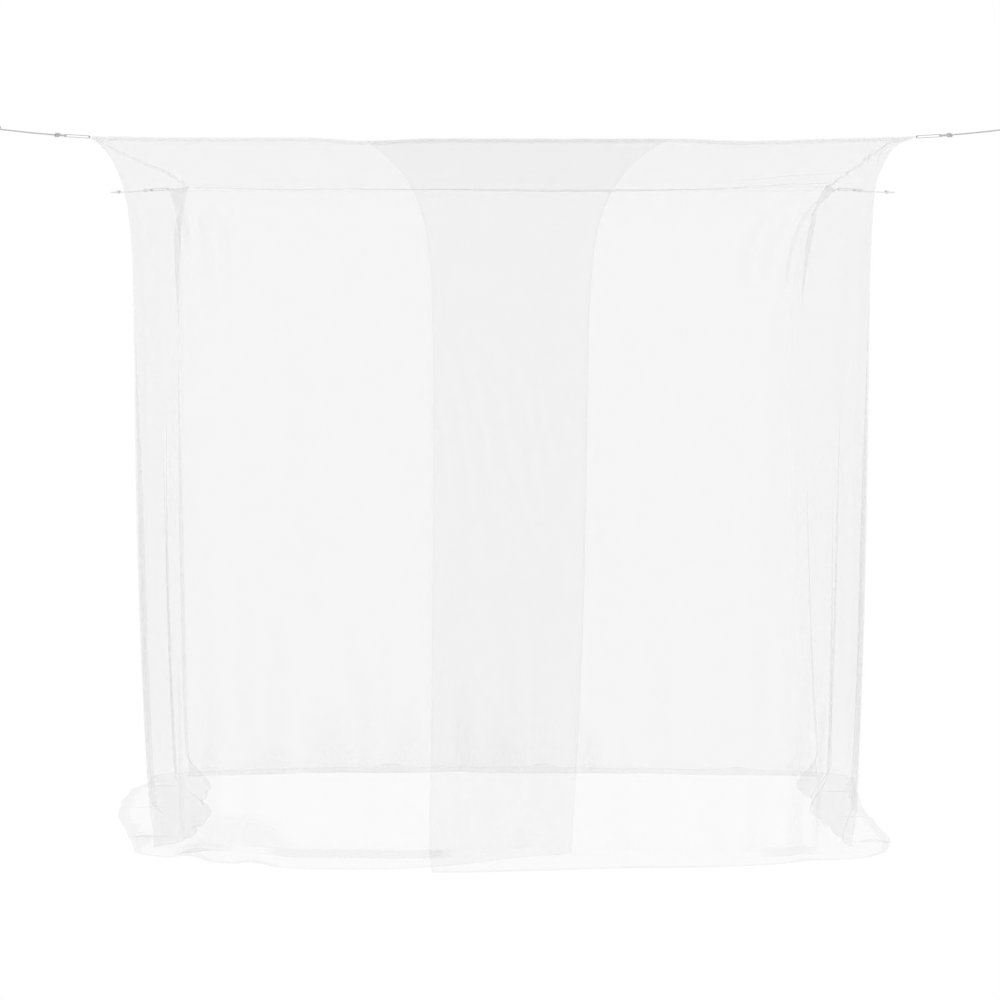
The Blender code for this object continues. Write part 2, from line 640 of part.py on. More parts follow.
def spline(route):
    """Close points on a smooth curve through the route."""
    points = []
    for k in range(len(route) - 1):
        a, b = route[max(k - 1, 0)], route[k]
        c, d = route[k + 1], route[min(k + 2, len(route) - 1)]
        for step in range(SPLINE_STEPS):
            t = step / SPLINE_STEPS
            bend = (2 * a - 5 * b + 4 * c - d) * t**2 + (3 * b - a - 3 * c + d) * t**3
            points.append(0.5 * (2 * b + (c - a) * t + bend))
    return points + [route[-1]]


def tie_points(corner):
    """A smooth curve through the route, read closely in the loops and at even steps between them."""
    place, way, side = corner_frame(corner)
    dense = spline([Vector((out, across, 0)) for out, across in tie_route(corner)])
    reach = TIE_REACH[corner.side_y]
    kept = [dense[0]]
    for point in dense:
        straight = loop_end() + TIE_NEAR[-1][0] < point.x < reach + TIE_FAR[0][0]
        if (point - kept[-1]).length >= (TIE_STEP if straight else TIE_LOOP_STEP):
            kept.append(point)
    result = []
    for point in kept:
        share = min(max((point.x - loop_end()) / (reach - loop_end()), 0.0), 1.0)
        rise = TIE_RISE[corner.side_y] * share - TIE_SAG * 4 * share * (1 - share)
        result.append(place + way * point.x + side * point.y + Vector((0, 0, rise)))
    return result


def add_tie(name, corner, material):
    data = bpy.data.curves.new(name, "CURVE")
    data.dimensions = "3D"
    data.bevel_depth = CORD / 2
    data.bevel_resolution = 2
    data.use_fill_caps = True
    points = tie_points(corner)
    spline = data.splines.new("POLY")
    spline.points.add(len(points) - 1)
    for target, point in zip(spline.points, points):
        target.co = (*point, 1)
    data.materials.append(material)
    obj = bpy.data.objects.new(name, data)
    bpy.context.scene.collection.objects.link(obj)
    return obj


def add_material(name, colour, roughness):
    material = bpy.data.materials.new(name)
    material.use_nodes = True
    shader = material.node_tree.nodes["Principled BSDF"]
    shader.inputs["Base Color"].default_value = (*colour, 1)
    shader.inputs["Roughness"].default_value = roughness
    shader.inputs["Metallic"].default_value = 0
    return material


def clear_scene():
    for obj in list(bpy.data.objects):
        bpy.data.objects.remove(obj, do_unlink=True)


def main():
    clear_scene()
    net = add_material("polyester_net", (0.86, 0.87, 0.88), 0.8)
    tape = add_material("cotton_tape", (0.78, 0.79, 0.80), 0.85)
    cord = add_material("braided_cord", (0.62, 0.63, 0.64), 0.8)
    add_roof(net)
    for wall_name in ("right", "back", "left"):
        add_wall(f"{wall_name}_wall", wall_name, net)
    add_curtain("front_left_curtain", LEFT_CURTAIN, True, net)
    add_curtain("front_right_curtain", RIGHT_CURTAIN, False, net)
    for wall_name in WALLS:
        add_binding(f"{wall_name}_binding", wall_name, tape)
    for name, corner in CORNERS.items():
        add_corner_loop(f"{name}_loop", corner, tape)
        add_tie(f"{name}_tie", corner, cord)


main()
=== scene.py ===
"""The look of a rectangular bed net that hangs by cords from the four corners of its roof.

Metres, +Z up. The entry side, with its two overlapping curtains, faces -Y. Each panel is one fine sheet
that hangs as its solid does, with the smaller folds, puckers and bunches that the solid leaves out.
"""

import math
from collections import namedtuple

import bpy
import numpy as np
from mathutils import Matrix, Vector


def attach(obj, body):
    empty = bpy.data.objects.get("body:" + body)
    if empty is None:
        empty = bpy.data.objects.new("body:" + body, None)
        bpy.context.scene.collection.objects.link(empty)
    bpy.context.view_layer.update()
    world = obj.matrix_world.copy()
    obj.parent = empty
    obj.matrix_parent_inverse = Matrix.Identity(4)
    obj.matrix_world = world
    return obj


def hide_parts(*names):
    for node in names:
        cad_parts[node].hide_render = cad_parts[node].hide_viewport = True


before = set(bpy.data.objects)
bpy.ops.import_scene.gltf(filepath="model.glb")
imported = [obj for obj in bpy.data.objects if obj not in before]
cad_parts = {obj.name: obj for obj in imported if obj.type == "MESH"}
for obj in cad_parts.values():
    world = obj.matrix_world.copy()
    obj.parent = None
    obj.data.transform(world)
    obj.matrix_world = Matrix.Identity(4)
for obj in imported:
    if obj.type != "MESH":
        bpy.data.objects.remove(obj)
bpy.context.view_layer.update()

# Driving sizes, as in the part
ROOF_WIDTH = 2.20
ROOF_DEPTH = 2.00
ROOF_HEIGHT = 1.92
FRONT_Y = -0.95
REACH_X = 1.165
REACH_Y = 1.245
ROOF_SAG = 0.03
CLOTH = 0.0015
TAPE = 0.0012
CORD = 0.004
BINDING_HEIGHT = 0.008
BINDING_TOP = 0.0025
BINDING_CLEAR = 0.0013  # from the middle of the cloth to the tape
ROOF_LIFT = 0.0016
ROOF_INSET = 0.0012
LOOP_WIDTH = 0.006
TURN_RADIUS = 0.015
HANG = ROOF_HEIGHT - TURN_RADIUS - CLOTH / 2
FLARE = 0.115
TUCK_DROP = 0.03
TUCK_REACH = 0.12
WAY_STEP = 0.03
LAYER_STEP = 0.006
LAYER_TOP = 0.0024
LAYER_OPENS = 0.15

# The corners, as in the part: place on the roof, how far the seam stands in at the waist and the foot,
# cloth on the floor, and how far the seam is tucked in just under the roof
Corner = namedtuple("Corner", "side_x side_y waist_in foot_in skirt tuck")
CORNERS = {
    "front_left": Corner(-1, -1, (0.145, 0.045), (0.160, 0.100), 0.056, 0.0),
    "front_right": Corner(1, -1, (0.150, 0.045), (0.190, 0.070), 0.102, 0.023),
    "back_right": Corner(1, 1, (0.165, 0.075), (0.090, 0.115), 0.130, 0.0),
    "back_left": Corner(-1, 1, (0.052, 0.060), (0.080, 0.120), 0.130, 0.0),
}

# Each wall runs from one corner to the next, against the clock as seen from above.
Wall = namedtuple("Wall", "start end along out length centre")
MIDDLE_Y = FRONT_Y + ROOF_DEPTH / 2
BACK_Y = FRONT_Y + ROOF_DEPTH
WALLS = {
    "front": Wall("front_left", "front_right", (1, 0), (0, -1), ROOF_WIDTH, (0, FRONT_Y)),
    "right": Wall("front_right", "back_right", (0, 1), (1, 0), ROOF_DEPTH, (ROOF_WIDTH / 2, MIDDLE_Y)),
    "back": Wall("back_right", "back_left", (-1, 0), (0, 1), ROOF_WIDTH, (0, BACK_Y)),
    "left": Wall("back_left", "front_left", (0, -1), (-1, 0), ROOF_DEPTH, (-ROOF_WIDTH / 2, MIDDLE_Y)),
}
ORDER = list(WALLS)

# Sections of each wall between its corners, as in the part
Section = namedtuple("Section", "share edge_in sag waist_in foot_in skirt")
SECTIONS = {
    "front": [
        Section(0.05, 0.010, 0.001, 0.012, 0.055, 0.086),
        Section(0.13, 0.020, 0.002, 0.000, 0.030, 0.158),
        Section(0.26, 0.030, 0.001, -0.004, 0.010, 0.243),
        Section(0.33, 0.036, 0.009, 0.000, 0.006, 0.242),
        Section(0.42, 0.040, 0.002, 0.004, 0.005, 0.240),
        Section(0.55, 0.040, 0.003, 0.004, 0.004, 0.238),
        Section(0.70, 0.036, 0.003, 0.000, 0.004, 0.215),
        Section(0.80, 0.030, 0.010, -0.004, 0.008, 0.202),
        Section(0.90, 0.016, 0.005, 0.002, 0.024, 0.150),
        Section(0.96, 0.008, 0.002, 0.014, 0.045, 0.114),
    ],
    "right": [
        Section(0.05, 0.054, 0.003, 0.108, 0.146, 0.092),
        Section(0.14, 0.066, 0.008, 0.092, 0.126, 0.100),
        Section(0.30, 0.072, 0.013, 0.088, 0.142, 0.116),
        Section(0.50, 0.072, 0.016, 0.096, 0.132, 0.108),
        Section(0.70, 0.068, 0.014, 0.116, 0.108, 0.104),
        Section(0.86, 0.064, 0.009, 0.140, 0.092, 0.106),
        Section(0.95, 0.034, 0.003, 0.154, 0.086, 0.118),
    ],
    "back": [
        Section(0.05, 0.040, 0.003, 0.050, 0.090, 0.150),
        Section(0.15, 0.080, 0.007, 0.055, 0.075, 0.178),
        Section(0.33, 0.104, 0.010, 0.070, 0.035, 0.180),
        Section(0.55, 0.110, 0.009, 0.076, 0.002, 0.197),
        Section(0.75, 0.100, 0.010, 0.070, 0.010, 0.170),
        Section(0.88, 0.070, 0.006, 0.052, 0.060, 0.172),
        Section(0.95, 0.036, 0.003, 0.045, 0.086, 0.148),
    ],
    "left": [
        Section(0.05, 0.060, 0.004, 0.054, 0.086, 0.120),
        Section(0.14, 0.090, 0.009, 0.066, 0.094, 0.146),
        Section(0.32, 0.104, 0.015, 0.080, 0.112, 0.178),
        Section(0.52, 0.098, 0.016, 0.090, 0.134, 0.172),
        Section(0.68, 0.062, 0.012, 0.090, 0.138, 0.132),
        Section(0.84, 0.036, 0.007, 0.084, 0.122, 0.066),
        Section(0.95, 0.016, 0.002, 0.101, 0.140, 0.046),
    ],
}

# Main folds of each wall, as in the part
Fold = namedtuple("Fold", "share half_width depth begins full gone")
FOLDS = {
    "front": [
        Fold(0.120, 0.225, 0.105, 0.95, 1.00, 1.5),
        Fold(0.075, 0.060, 0.022, 0.70, 0.88, 1.5),
        Fold(0.170, 0.110, -0.014, 0.20, 0.80, 1.5),
        Fold(0.300, 0.120, 0.012, 0.30, 0.85, 1.5),
        Fold(0.500, 0.160, -0.010, 0.20, 0.80, 1.5),
        Fold(0.700, 0.130, 0.012, 0.25, 0.80, 1.5),
        Fold(0.840, 0.110, -0.014, 0.20, 0.75, 1.5),
        Fold(0.945, 0.060, 0.026, 0.68, 0.88, 1.5),
    ],
    "right": [
        Fold(0.235, 0.450, 0.045, 0.95, 1.00, 1.5),
        Fold(0.480, 0.450, 0.045, 0.95, 1.00, 1.5),
        Fold(0.740, 0.450, 0.075, 0.95, 1.00, 1.5),
        Fold(0.100, 0.090, 0.020, 0.10, 0.60, 1.5),
        Fold(0.260, 0.120, -0.016, 0.15, 0.70, 1.5),
        Fold(0.450, 0.130, 0.018, 0.10, 0.60, 1.5),
        Fold(0.640, 0.130, -0.016, 0.10, 0.70, 1.5),
        Fold(0.800, 0.110, 0.016, 0.10, 0.60, 1.5),
        Fold(0.930, 0.070, -0.024, 0.02, 0.07, 0.30),
    ],
    "back": [
        Fold(0.060, 0.080, 0.026, 0.02, 0.07, 0.28),
        Fold(0.270, 0.140, -0.016, 0.15, 0.80, 1.5),
        Fold(0.450, 0.120, 0.024, 0.55, 0.94, 1.5),
        Fold(0.580, 0.090, -0.022, 0.60, 0.94, 1.5),
        Fold(0.700, 0.100, 0.020, 0.50, 0.92, 1.5),
        Fold(0.830, 0.110, -0.014, 0.20, 0.80, 1.5),
        Fold(0.940, 0.070, 0.024, 0.02, 0.07, 0.28),
    ],
    "left": [
        Fold(0.235, 0.450, 0.070, 0.95, 1.00, 1.5),
        Fold(0.460, 0.450, 0.075, 0.95, 1.00, 1.5),
        Fold(0.700, 0.450, 0.110, 0.95, 1.00, 1.5),
        Fold(0.860, 0.260, 0.080, 0.95, 1.00, 1.5),
        Fold(0.070, 0.070, -0.022, 0.02, 0.07, 0.30),
        Fold(0.220, 0.120, 0.018, 0.10, 0.60, 1.5),
        Fold(0.400, 0.130, -0.016, 0.15, 0.70, 1.5),
        Fold(0.580, 0.130, 0.016, 0.10, 0.70, 1.5),
        Fold(0.760, 0.120, -0.014, 0.15, 0.70, 1.5),
        Fold(0.900, 0.080, 0.020, 0.15, 0.60, 1.5),
    ],
}

# Ripples of the cloth on the floor, as in the part
Ripple = namedtuple("Ripple", "share half_width height")
RIPPLES = {
    "front": [Ripple(0.07, 0.07, 0.022), Ripple(0.165, 0.08, 0.016), Ripple(0.93, 0.07, 0.008)],
    "right": [Ripple(0.08, 0.09, 0.020), Ripple(0.38, 0.10, 0.012), Ripple(0.72, 0.12, 0.014)],
    "back": [Ripple(0.12, 0.10, 0.014), Ripple(0.44, 0.09, 0.018), Ripple(0.68, 0.10, 0.018)],
    "left": [Ripple(0.20, 0.12, 0.014), Ripple(0.50, 0.12, 0.012), Ripple(0.88, 0.10, 0.018)],
}

RIPPLE_END = 0.85  # of half a wave, so that a ripple comes down just before the hem

# The curtains' free edges, as in the part
Curtain = namedtuple("Curtain", "roof_x waist_x foot_x hem_x drawn_back skirt")
LEFT_CURTAIN = Curtain(0.445, 0.228, 0.185, 0.150, 0.090, 0.060)
RIGHT_CURTAIN = Curtain(-0.368, -0.186, -0.197, -0.182, 0.000, 0.300)
DRAW_BACK_FROM = 0.42
DRAW_BACK_POWER = 4
EDGE_REACH = 0.45  # share of a curtain's width over which its free edge changes the skirt
OVERLAP_FULL = 0.66
OVERLAP_GONE = 0.84
BINDING_STEPS_OUT = 0.25
OUTER_HEM_DROP = (0.70, 1.0)

# Small wrinkles: size across and down, depth, and the shares of the drop over which they come in
Wrinkle = namedtuple("Wrinkle", "across down depth begins full")
WRINKLES = [
    Wrinkle(0.170, 0.90, 0.0040, 0.02, 0.20),
    Wrinkle(0.055, 0.45, 0.0012, 0.03, 0.15),
    Wrinkle(0.110, 0.22, 0.0090, 0.84, 0.98),
    Wrinkle(0.048, 0.10, 0.0050, 0.92, 1.00),
]
WRINKLE_SIZE = {"front": 1.0, "right": 0.35, "back": 1.0, "left": 0.35}
WRINKLE_FADE = 0.05  # from a corner seam, where the wrinkles come in

# Puckers where a wall is gathered into the roof's seam: depth by wall, and their size
PUCKER_DEPTH = {"front": 0.0020, "right": 0.0055, "back": 0.0030, "left": 0.0055}
PUCKER_CELL = 0.030
PUCKER_FADE = 0.045
PUCKER_MEAN, PUCKER_SPREAD, PUCKER_DRIFT = 0.6, 0.4, 0.25  # strength, its spread and its size along the wall
PUCKER_RISE = 0.5  # how far a pucker also lifts the edge, as a share of its depth

# The roof's own slow unevenness: size across and down, height, and how near the edge it fades out
Unevenness = namedtuple("Unevenness", "across down height fade")
ROOF_UNEVEN = Unevenness(0.3, 0.5, 0.006, 0.2)

# Layers of net: 1 in the open, and more where it is seamed, hemmed or gathered
SEAM_BAND = 0.006
SEAM_LAYERS = 1.3
TOP_LAYERS = {"front": 1.2, "right": 0.7, "back": 0.0, "left": 0.5}  # turned in at the roof's seam
FREE_EDGE_LAYERS = 1.5
HEM_BAND = 0.022
HEM_LAYERS = 2.4
PANEL_LAYERS = {"front": 1.0, "right": 1.55, "back": 1.0, "left": 1.5}
FLOOR_LAYERS = 1.0  # where it lies on the floor
FLOOR_FROM, FLOOR_FADE = 1.55, 0.30  # drop at which a panel starts to thin out, and over how much
ROOF_LAYERS = 1.7
GATHERED = {"front": 2.5, "right": 0.4, "back": 3.0, "left": 0.4}  # by how much a fold's flank is denser
GATHERED_MOST = {"front": 0.8, "right": 0.2, "back": 1.2, "left": 0.2}
FOOT_REACH = 0.030  # above the floor, in which the foot is denser, and by how much
FOOT_LAYERS = {"front": 0.2, "right": 0.2, "back": 0.9, "left": 0.2}
FOOT_CELL = 0.17
FOOT_MEAN, FOOT_SPREAD = 0.55, 0.45  # how patchy the foot is
FOOT_RISE = 0.004  # by which the foot's own rows count as above the floor
NEAR_FOOT = 0.1  # share of the skirt that still counts as the foot
LEAST_FACING = 0.3  # below which a steeper flank looks no denser
ROUNDING = 1e-5

# Creases where the net lies doubled: the wall, the share at which one hangs, the drops from which and to
# which it is seen, its half width and how many layers it adds
Crease = namedtuple("Crease", "wall share begins ends half_width layers")
CREASES = [
    Crease("front", 0.043, 1.42, 1.90, 0.006, 3.0),
    Crease("front", 0.962, 1.50, 1.90, 0.010, 1.4),
    Crease("right", 0.040, 1.50, 1.90, 0.020, 0.9),
    Crease("back", 0.010, 0.02, 0.34, 0.012, 1.8),
    Crease("back", 0.988, 0.02, 0.20, 0.014, 1.8),
]
CREASE_END = 0.06  # drop over which a crease comes in and fades out

# Stretches of the front's foot that lie in a doubled fold: shares, height over the floor, layers
FootFold = namedtuple("FootFold", "first last height layers")
FOOT_FOLDS = [
    FootFold(0.16, 0.44, 0.0045, 1.5),
    FootFold(0.02, 0.12, 0.012, 1.0),
    FootFold(0.87, 0.97, 0.010, 1.2),
]
FOOT_FOLD_END = 0.03  # share over which one comes in and fades out

# Soft denser places low on the back wall: shares, height over the floor, layers
LowBunch = namedtuple("LowBunch", "share half_width height layers")
LOW_BUNCHES = [
    LowBunch(0.870, 0.050, 0.10, 0.7),
    LowBunch(0.774, 0.060, 0.28, 0.8),
    LowBunch(0.714, 0.025, 0.42, 0.6),
    LowBunch(0.654, 0.050, 0.26, 0.8),
    LowBunch(0.557, 0.035, 0.34, 0.8),
    LowBunch(0.497, 0.040, 0.24, 0.8),
    LowBunch(0.355, 0.025, 0.18, 0.9),
]

# The ties, as in the part
TIE_ANGLE = math.radians(38)
TIE_REACH = {-1: 0.315, 1: 0.262}
TIE_RISE = {-1: 0.009, 1: 0.0}  # how much higher the far loop is
TIE_SAG = 0.002
TIE_NEAR = [
    (0.0262, 0.0047), (0.0200, 0.0056), (0.0140, 0.0074), (0.0075, 0.0090), (0.0012, 0.0086),
    (-0.0026, 0.0060), (-0.0036, 0.0022), (-0.0036, -0.0022), (-0.0026, -0.0060), (0.0012, -0.0086),
    (0.0075, -0.0090), (0.0140, -0.0064), (0.0200, -0.0026), (0.0262, -0.0002), (0.0340, 0.0),
]
TIE_FAR = [
    (-0.0480, 0.0), (-0.0380, -0.0006), (-0.0290, -0.0040), (-0.0215, -0.0080), (-0.0130, -0.0098),
    (-0.0050, -0.0072), (0.0, 0.0), (-0.0050, 0.0072), (-0.0130, 0.0098), (-0.0215, 0.0086),
    (-0.0290, 0.0064), (-0.0360, 0.0047),
]
SPLINE_STEPS = 24
TIE_STEP = 0.004
CORD_SIDES, KNOT_SIDES = 10, 8
KNOT_TURNS, KNOT_TURN_STEPS = 3, 16
KNOT_PITCH, KNOT_WIDE, KNOT_HIGH = 0.95, 1.35, 1.02  # in cord diameters
KNOT_FROM_LOOP, KNOT_FROM_END, KNOT_ASIDE = 0.022, 0.034, 0.0020

# The camera stands level, and its frame is moved down and a little to the left.
EYE = Vector((0.0, -9.53, 1.187))
LENS = 115.85
SENSOR = 36.0
SHIFT_X = -0.003
SHIFT_Y = -0.088


def add_camera():
    data = bpy.data.cameras.new("camera")
    data.sensor_width = SENSOR
    data.lens = LENS
    data.shift_x = SHIFT_X
    data.shift_y = SHIFT_Y
    camera = bpy.data.objects.new("camera", data)
    camera.location = EYE
    camera.rotation_euler = (math.pi / 2, 0, 0)
    bpy.context.scene.collection.objects.link(camera)
    bpy.context.scene.camera = camera


# Shapes that change along a wall


def smooth(value):
    """0 to 1 with level ends."""
    value = np.clip(value, 0.0, 1.0)
    return value * value * (3 - 2 * value)


def bell(value):
    return np.where(np.abs(value) < 1, (1 - value * value) ** 2, 0.0)


def curve(xs, ys, x):
    """A smooth curve through the points, read at x, with no overshoot at a peak."""
    xs, ys, x = np.array(xs, float), np.array(ys, float), np.clip(x, xs[0], xs[-1])
    steps = np.diff(xs)
    slopes = np.diff(ys) / steps
    tangents = np.concatenate([slopes[:1], np.zeros(len(xs) - 2), slopes[-1:]])
    for k in range(1, len(xs) - 1):
        before, after = slopes[k - 1], slopes[k]
        if before * after > 0:
            tangents[k] = 2 * before * after / (before + after)
    i = np.clip(np.searchsorted(xs, x, side="right") - 1, 0, len(steps) - 1)
    t = (x - xs[i]) / steps[i]
    return (
        (2 * t**3 - 3 * t**2 + 1) * ys[i]
        + (t**3 - 2 * t**2 + t) * steps[i] * tangents[i]
        + (3 * t**2 - 2 * t**3) * ys[i + 1]
        + (t**3 - t**2) * steps[i] * tangents[i + 1]
    )


def uneven(seed, across, down):
    """Smooth unevenness from -1 to 1, on a grid of random values one unit apart."""
    grid = np.random.default_rng(seed).uniform(-1, 1, (64, 64))
    i, j = np.floor(across).astype(int), np.floor(down).astype(int)
    s, t = smooth(across - i), smooth(down - j)
    top = grid[j % 64, i % 64] * (1 - s) + grid[j % 64, (i + 1) % 64] * s
    bottom = grid[(j + 1) % 64, i % 64] * (1 - s) + grid[(j + 1) % 64, (i + 1) % 64] * s
    return top * (1 - t) + bottom * t


def hung(roof, waist, foot, drop):
    """A measure at a drop: from its value at the roof to the waist's, and slowly on to the foot's."""
    fallen = np.maximum(drop, 0.0)
    return waist + (roof - waist) * np.exp(-fallen / FLARE) + (foot - waist) * (fallen / HANG) ** 3


def section(wall_name, share):
    """The wall's section at shares of its width, with the corners as the first and last rows."""
    wall = WALLS[wall_name]
    across = 1 if wall.along[0] else 0
    ends = []
    for corner, place in ((CORNERS[wall.start], 0.0), (CORNERS[wall.end], 1.0)):
        ends.append(Section(place, 0, 0, corner.waist_in[across], corner.foot_in[across], corner.skirt))
    table = [ends[0], *SECTIONS[wall_name], ends[1]]
    shares, *columns = zip(*table)
    return Section(share, *[curve(shares, column, share) for column in columns])


def tuck_depth(corner, drop):
    """How far a corner's seam is tucked in along x, at drops."""
    fallen = np.maximum(drop, 0.0) / TUCK_DROP
    return corner.tuck * fallen * np.exp(1 - fallen)


def corner_along(corner, axis, drop):
    """How far a corner's seam stands in along one axis, at drops."""
    tuck = tuck_depth(corner, drop) if axis == 0 else 0.0
    return hung(0, corner.waist_in[axis], corner.foot_in[axis], drop) + tuck


def foot_plan(wall_name, share):
    """Points of the foot's line on the floor, without its folds."""
    wall = WALLS[wall_name]
    axis = 0 if wall.along[0] else 1
    first = -wall.length / 2 + CORNERS[wall.start].foot_in[axis]
    last = wall.length / 2 - CORNERS[wall.end].foot_in[axis]
    along = (first + (last - first) * share)[..., None]
    inward = section(wall_name, share).foot_in[..., None]
    return np.array(wall.centre) + along * np.array(wall.along) - inward * np.array(wall.out)


def foot_round(wall_name, share):
    """The same, with shares under 0 or over 1 on the walls next to this one."""
    at = ORDER.index(wall_name)
    before, after = ORDER[at - 1], ORDER[(at + 1) % 4]
    result = foot_plan(wall_name, np.clip(share, 0, 1))
    result = np.where((share < 0)[..., None], foot_plan(before, np.clip(1 + share, 0, 1)), result)
    return np.where((share > 1)[..., None], foot_plan(after, np.clip(share - 1, 0, 1)), result)


def unit(vectors):
    return vectors / np.maximum(np.linalg.norm(vectors, axis=-1, keepdims=True), 1e-9)


def skirt_way(wall_name, share):
    """The way in which the hem lies from the foot: square to the foot's line, also round a corner."""
    here = foot_plan(wall_name, share)
    before = unit(here - foot_round(wall_name, share - WAY_STEP))
    after = unit(foot_round(wall_name, share + WAY_STEP) - here)
    line = before + after
    return unit(np.stack([line[..., 1], -line[..., 0]], -1))


def fold_depth(wall_name, share, drop):
    fallen = drop / HANG
    total = np.zeros(np.broadcast(share, drop).shape)
    for fold in FOLDS[wall_name]:
        across = bell((share - fold.share) * WALLS[wall_name].length / fold.half_width)
        rise = smooth((fallen - fold.begins) / (fold.full - fold.begins))
        fade = 1 - smooth((fallen - fold.full) / (fold.gone - fold.full)) if fold.gone < 1 else 1.0
        total = total + fold.depth * across * rise * fade
    return total


def wrinkle_depth(wall_name, share, drop):
    """The small wrinkles of a wall, which fade out at its seams."""
    length = WALLS[wall_name].length
    seed = 10 * ORDER.index(wall_name)
    total = np.zeros(np.broadcast(share, drop).shape)
    for k, wrinkle in enumerate(WRINKLES):
        shape = uneven(seed + k, share * length / wrinkle.across, drop / wrinkle.down)
        comes_in = smooth((drop / HANG - wrinkle.begins) / (wrinkle.full - wrinkle.begins))
        total = total + wrinkle.depth * shape * comes_in
    to_seam = np.minimum(share, 1 - share) * length
    return total * WRINKLE_SIZE[wall_name] * smooth(to_seam / WRINKLE_FADE)


def pucker(wall_name, share):
    """How far the roof's edge is drawn in and up by its seam, from 0 to the wall's depth."""
    length = WALLS[wall_name].length
    seed = 50 + ORDER.index(wall_name)
    shape = uneven(seed, share * length / PUCKER_CELL, share * 0)
    strength = PUCKER_MEAN + PUCKER_SPREAD * uneven(seed + 5, share * length / PUCKER_DRIFT, share * 0)
    to_seam = np.minimum(share, 1 - share) * length
    return PUCKER_DEPTH[wall_name] * shape * strength * smooth(to_seam / WRINKLE_FADE)


def wall_points(wall_name, share, drop, turn, out, skirt=None, drawn_back=0.0):
    """Points on the middle of a wall's cloth, for arrays of shares, drops, turns and shares of the skirt."""
    wall = WALLS[wall_name]
    axis = 0 if wall.along[0] else 1
    cut = section(wall_name, share)
    first = -wall.length / 2 + corner_along(CORNERS[wall.start], axis, drop)
    last = wall.length / 2 - corner_along(CORNERS[wall.end], axis, drop)
    gather = pucker(wall_name, share) * np.exp(-np.maximum(drop, 0) / PUCKER_FADE)
    inward = hung(cut.edge_in, cut.waist_in, cut.foot_in, drop)
    inward = inward + fold_depth(wall_name, share, drop) * (1 - out) + drawn_back + gather
    inward = inward + wrinkle_depth(wall_name, share, drop) * (1 - out)
    if axis == 1:
        inward = inward + tuck_depth(CORNERS[wall.start], drop) * bell(share / TUCK_REACH)
        inward = inward + tuck_depth(CORNERS[wall.end], drop) * bell((1 - share) / TUCK_REACH)
    along = (first + (last - first) * share)[..., None]
    plan = np.array(wall.centre) + along * np.array(wall.along) - inward[..., None] * np.array(wall.out)
    reach = (cut.skirt if skirt is None else skirt) - TURN_RADIUS
    plan = plan + skirt_way(wall_name, share) * (TURN_RADIUS * (1 - np.cos(turn)) + reach * out)[..., None]
    floor = CLOTH / 2
    foot = floor + TURN_RADIUS
    top = ROOF_HEIGHT - cut.sag
    hanging = foot + (top - foot) * (1 - drop / HANG)
    height = np.where(turn > 0, floor + TURN_RADIUS * (1 - np.sin(turn)), hanging)
    for ripple in RIPPLES[wall_name]:
        across = bell((share - ripple.share) * wall.length / ripple.half_width)
        height = height + ripple.height * across * np.sin(RIPPLE_END * math.pi * out)
    x = np.clip(plan[..., 0], CLOTH - REACH_X, REACH_X - CLOTH)
    y = np.clip(plan[..., 1], -REACH_Y, REACH_Y)
    return np.stack([x, y, height + gather * PUCKER_RISE], -1)


def free_share(curtain, drop, out):
    """The share of the front at which a curtain's free edge hangs."""
    left = -ROOF_WIDTH / 2 + corner_along(CORNERS["front_left"], 0, drop)
    right = ROOF_WIDTH / 2 - corner_along(CORNERS["front_right"], 0, drop)
    x = hung(curtain.roof_x, curtain.waist_x, curtain.foot_x, drop)
    x = x + (curtain.hem_x - curtain.foot_x) * out
    return (x - left) / (right - left)


def layer_offset(share, drop, out):
    """How far the outer curtain stands proud of the inner one's surface."""
    overlap = 1 - smooth((share - OVERLAP_FULL) / (OVERLAP_GONE - OVERLAP_FULL))
    depth = LAYER_TOP + (LAYER_STEP - LAYER_TOP) * smooth(drop / LAYER_OPENS)
    first, last = OUTER_HEM_DROP
    return depth * overlap * (1 - smooth((out - first) / (last - first)))


def grid_normals(points):
    """Outward normals of a grid of points."""
    down = np.gradient(points, axis=0)
    across = np.gradient(points, axis=1)
    return unit(np.cross(down, across))


# Grids: rows run from the roof to the hem, columns from seam to seam


def spaced(length, step, close):
    """Places from 0 to length, a step apart in between and as close as given at both ends."""
    ends = [*close, *[length - place for place in close]]
    inner = np.linspace(max(close), length - max(close), max(2, round((length - 2 * max(close)) / step)))
    return np.array(sorted(set(np.round([*ends, *inner], 6))))


CLOSE = [0.0, SEAM_BAND / 2, SEAM_BAND, SEAM_BAND + 0.001, 0.014, 0.022, 0.032, 0.042, 0.052, 0.062, 0.071]
CLOSE += [0.076, 0.080, 0.084, 0.089, 0.095, 0.102]
ROW_DROPS = np.concatenate(
    [
        [0, 0.004, 0.008, 0.012, 0.018, 0.026, 0.036, 0.048],
        np.arange(0.062, 0.34, 0.018),
        np.linspace(0.36, HANG - 0.020, 71),
        [HANG - 0.015, HANG - 0.010, HANG - 0.006, HANG - 0.003, HANG],
    ]
)
ROW_TURNS = np.radians([15, 30, 45, 60, 75, 90])
ROW_OUTS = np.array(
    [0.06, 0.12, 0.2, 0.28, 0.36, 0.44, 0.52, 0.60, 0.68, 0.76, 0.84, 0.90, 0.935, 0.945, 1.0]
)
COLUMN_STEP = 0.0165
ROOF_STEP = 0.022
BINDING_STEP = 0.006
BINDING_CLOSE = [0.0, 0.003]


